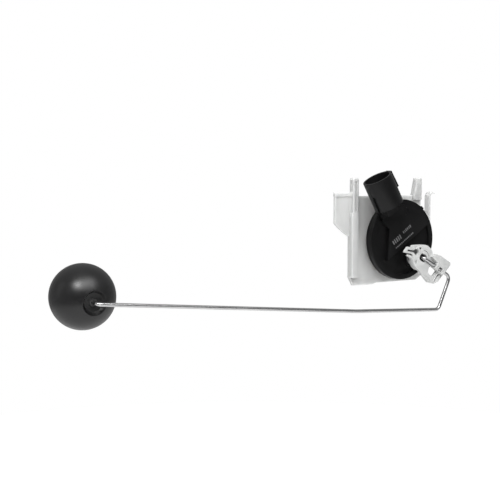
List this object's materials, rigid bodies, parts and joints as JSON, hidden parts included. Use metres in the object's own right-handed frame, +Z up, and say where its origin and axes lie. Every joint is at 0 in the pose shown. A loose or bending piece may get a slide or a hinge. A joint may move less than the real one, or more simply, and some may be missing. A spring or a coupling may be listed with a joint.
{
  "type": "float level sender",
  "caption": "Float level sender: ball float on a bent wire arm turns a wiper in a round black housing with a leaning connector, on a white slide-in bracket.",
  "frame": {"origin": "on the bracket's flat back face, on the axis of the round housing", "axes": "+X to the right seen from the front, away from the float; +Y out of the bracket's back face; +Z up; the housing, lever and wire stand off towards -Y"},
  "size_m": [0.2815, 0.0449, 0.0948],
  "materials": {
    "natural_nylon": "satin",
    "housing_black": "satin",
    "seal_rubber": "matte",
    "card_ceramic": "matte",
    "carbon_ink": "matte",
    "silver_ink": "satin",
    "terminal_brass": "bright",
    "spring_bronze": "satin",
    "potting_resin": "gloss",
    "bush_plastic": "satin",
    "rotor_plastic": "satin",
    "contact_alloy": "bright",
    "clip_steel": "satin",
    "lever_acetal": "satin",
    "wire_steel": "bright drawn",
    "float_black": "satin",
    "sleeve_plastic": "satin"
  },
  "bodies": {
    "sender": {"bracket": "natural_nylon", "housing_body": "housing_black", "front_cover": "housing_black", "housing_seal": "seal_rubber", "resistor_card": "card_ceramic", "resistor_track": "carbon_ink", "contact_track": "silver_ink", "terminal_signal": "terminal_brass", "terminal_ground": "terminal_brass", "card_contact_signal": "spring_bronze", "card_contact_ground": "spring_bronze", "terminal_seal": "potting_resin", "pivot_bush": "bush_plastic", "thrust_washer": "bush_plastic"},
    "arm": {"rotor": "rotor_plastic", "wiper_spring": "spring_bronze", "wiper_contacts": "contact_alloy", "wiper_rivets": "terminal_brass", "retaining_clip": "clip_steel", "lever_clip": "lever_acetal", "float_arm": "wire_steel", "float_nut": "clip_steel"},
    "float_ball": {"float_front_shell": "float_black", "float_rear_shell": "float_black", "float_sleeve": "sleeve_plastic"}
  },
  "joints": [
    {"name": "arm_pivot", "type": "hinge", "parent": "sender", "child": "arm", "pos_m": [0.0084, -0.01235, -0.012], "axis": [0, 1, 0], "range_deg": [0, 55]},
    {"name": "float_spin", "type": "hinge", "parent": "arm", "child": "float_ball", "pos_m": [-0.2274, -0.0044, -0.02417], "axis": [0, 0.9945, 0.1045], "continuous": true}
  ]
}
